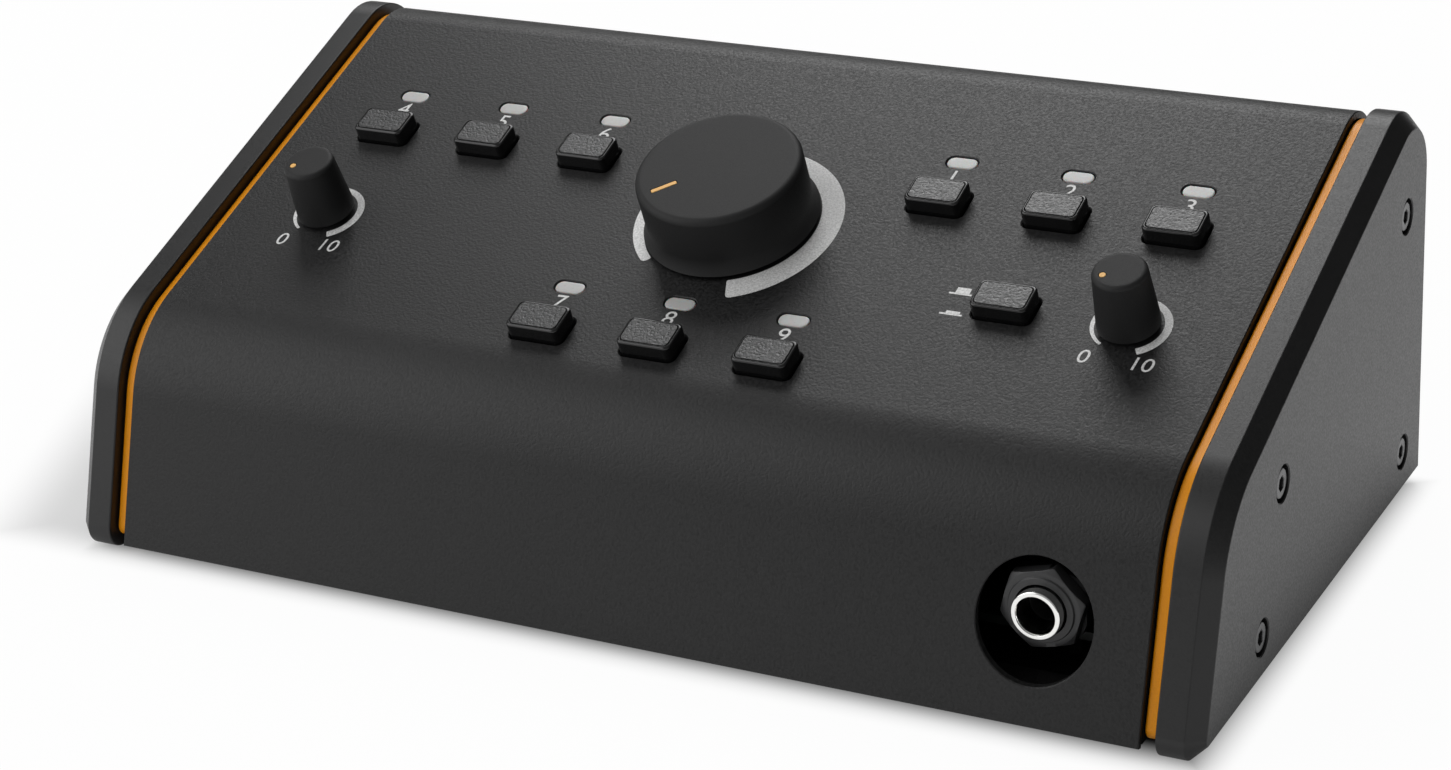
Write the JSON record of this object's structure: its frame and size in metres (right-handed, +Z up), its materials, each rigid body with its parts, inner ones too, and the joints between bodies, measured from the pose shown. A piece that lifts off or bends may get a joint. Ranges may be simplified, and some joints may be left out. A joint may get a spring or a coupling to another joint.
{
  "type": "studio monitor controller",
  "caption": "Desktop wedge of bent sheet metal between thick side plates, with a large level knob, side knobs, lit push buttons and a front headphone socket.",
  "frame": {"origin": "on the floor under the middle of the object's outline, at the bottom of its rubber feet", "axes": "+X to the user's right along the width, +Y from the user to the back, +Z up"},
  "size_m": [0.2298, 0.1226, 0.0782],
  "materials": {
    "cover_coat": "fine textured powder coat, charcoal",
    "tray_coat": "matte black powder coat",
    "side_plate_metal": "fine textured powder coat, grey with satin chamfers",
    "accent_anodised": "satin orange",
    "knob_rubber": "soft-touch matte",
    "button_plastic": "black with a matte face",
    "pointer_inlay": "satin pale orange",
    "lens_plastic": "milky satin",
    "steel": "satin",
    "chrome": "polished",
    "dark_metal": "satin black",
    "foot_rubber": "matte",
    "circuit_board": "black solder mask",
    "ribbon_plastic": "matte",
    "socket_plastic": "moulded black"
  },
  "bodies": {
    "chassis": {"left_light_pipe": "lens_plastic", "right_light_pipe": "lens_plastic", "centre_light_pipe": "lens_plastic", "control_board": "circuit_board", "aux_level_pot": "steel", "main_level_pot": "steel", "phones_level_pot": "steel", "left_rear_screw": "steel", "right_rear_screw": "steel", "output_sockets_1": "socket_plastic", "output_sockets_2": "socket_plastic", "output_sockets_3": "socket_plastic", "input_sockets": "socket_plastic", "aux_socket": "socket_plastic", "power_socket": "socket_plastic", "rear_panel": "cover_coat", "headphone_socket": "socket_plastic", "headphone_ferrule": "chrome", "headphone_nut": "dark_metal", "top_cover": "cover_coat", "base_tray": "tray_coat", "front_left_foot": "foot_rubber", "front_right_foot": "foot_rubber", "rear_left_foot": "foot_rubber", "rear_right_foot": "foot_rubber", "left_side_plate": "side_plate_metal", "left_accent_plate": "accent_anodised", "left_lower_front_screw": "steel", "left_lower_back_screw": "steel", "left_upper_front_screw": "steel", "left_upper_back_screw": "steel", "right_side_plate": "side_plate_metal", "right_accent_plate": "accent_anodised", "right_lower_front_screw": "steel", "right_lower_back_screw": "steel", "right_upper_front_screw": "steel", "right_upper_back_screw": "steel", "left_cover_screw": "steel", "right_cover_screw": "steel", "main_board": "circuit_board", "ribbon_cable": "ribbon_plastic"},
    "main_level_control": {"main_level_knob": "knob_rubber", "main_level_shaft": "steel", "main_level_pointer": "pointer_inlay"},
    "aux_level_control": {"aux_level_knob": "knob_rubber", "aux_level_shaft": "steel", "aux_level_pointer": "pointer_inlay"},
    "phones_level_control": {"phones_level_knob": "knob_rubber", "phones_level_shaft": "steel", "phones_level_pointer": "pointer_inlay"},
    "stereo_button_cap": {"stereo_button": "button_plastic"},
    "aux_button_cap": {"aux_button": "button_plastic"},
    "pair_button_cap": {"pair_button": "button_plastic"},
    "speaker_1_button_cap": {"speaker_1_button": "button_plastic"},
    "speaker_2_button_cap": {"speaker_2_button": "button_plastic"},
    "speaker_3_button_cap": {"speaker_3_button": "button_plastic"},
    "mono_button_cap": {"mono_button": "button_plastic"},
    "dim_button_cap": {"dim_button": "button_plastic"},
    "mute_button_cap": {"mute_button": "button_plastic"},
    "listen_button_cap": {"listen_button": "button_plastic"}
  },
  "joints": [
    {"name": "stereo_button_press", "type": "slide", "parent": "chassis", "child": "stereo_button_cap", "axis": [0, 0.3453, -0.9385], "range_m": [0, 0.0015], "stiffness_N_per_m": 700, "springref_m": -0.0008},
    {"name": "aux_button_press", "type": "slide", "parent": "chassis", "child": "aux_button_cap", "axis": [0, 0.3453, -0.9385], "range_m": [0, 0.0015], "stiffness_N_per_m": 700, "springref_m": -0.0008},
    {"name": "pair_button_press", "type": "slide", "parent": "chassis", "child": "pair_button_cap", "axis": [0, 0.3453, -0.9385], "range_m": [0, 0.0015], "stiffness_N_per_m": 700, "springref_m": -0.0008},
    {"name": "speaker_1_button_press", "type": "slide", "parent": "chassis", "child": "speaker_1_button_cap", "axis": [0, 0.3453, -0.9385], "range_m": [0, 0.0015], "stiffness_N_per_m": 700, "springref_m": -0.0008},
    {"name": "speaker_2_button_press", "type": "slide", "parent": "chassis", "child": "speaker_2_button_cap", "axis": [0, 0.3453, -0.9385], "range_m": [0, 0.0015], "stiffness_N_per_m": 700, "springref_m": -0.0008},
    {"name": "speaker_3_button_press", "type": "slide", "parent": "chassis", "child": "speaker_3_button_cap", "axis": [0, 0.3453, -0.9385], "range_m": [0, 0.0015], "stiffness_N_per_m": 700, "springref_m": -0.0008},
    {"name": "mono_button_press", "type": "slide", "parent": "chassis", "child": "mono_button_cap", "axis": [0, 0.3453, -0.9385], "range_m": [0, 0.0015], "stiffness_N_per_m": 700, "springref_m": -0.0008},
    {"name": "dim_button_press", "type": "slide", "parent": "chassis", "child": "dim_button_cap", "axis": [0, 0.3453, -0.9385], "range_m": [0, 0.0015], "stiffness_N_per_m": 700, "springref_m": -0.0008},
    {"name": "mute_button_press", "type": "slide", "parent": "chassis", "child": "mute_button_cap", "axis": [0, 0.3453, -0.9385], "range_m": [0, 0.0015], "stiffness_N_per_m": 700, "springref_m": -0.0008},
    {"name": "listen_button_press", "type": "slide", "parent": "chassis", "child": "listen_button_cap", "axis": [0, 0.3453, -0.9385], "range_m": [0, 0.0015]},
    {"name": "main_level_turn", "type": "hinge", "parent": "chassis", "child": "main_level_control", "pos_m": [0, 0.00054, 0.06066], "axis": [0, -0.3453, 0.9385], "range_deg": [-293.5, 6.5]},
    {"name": "aux_level_turn", "type": "hinge", "parent": "chassis", "child": "aux_level_control", "pos_m": [-0.0835, -0.01147, 0.05624], "axis": [0, -0.3453, 0.9385], "range_deg": [-277, 23]},
    {"name": "phones_level_turn", "type": "hinge", "parent": "chassis", "child": "phones_level_control", "pos_m": [0.0835, -0.01147, 0.05624], "axis": [0, -0.3453, 0.9385], "range_deg": [-277, 23]}
  ]
}
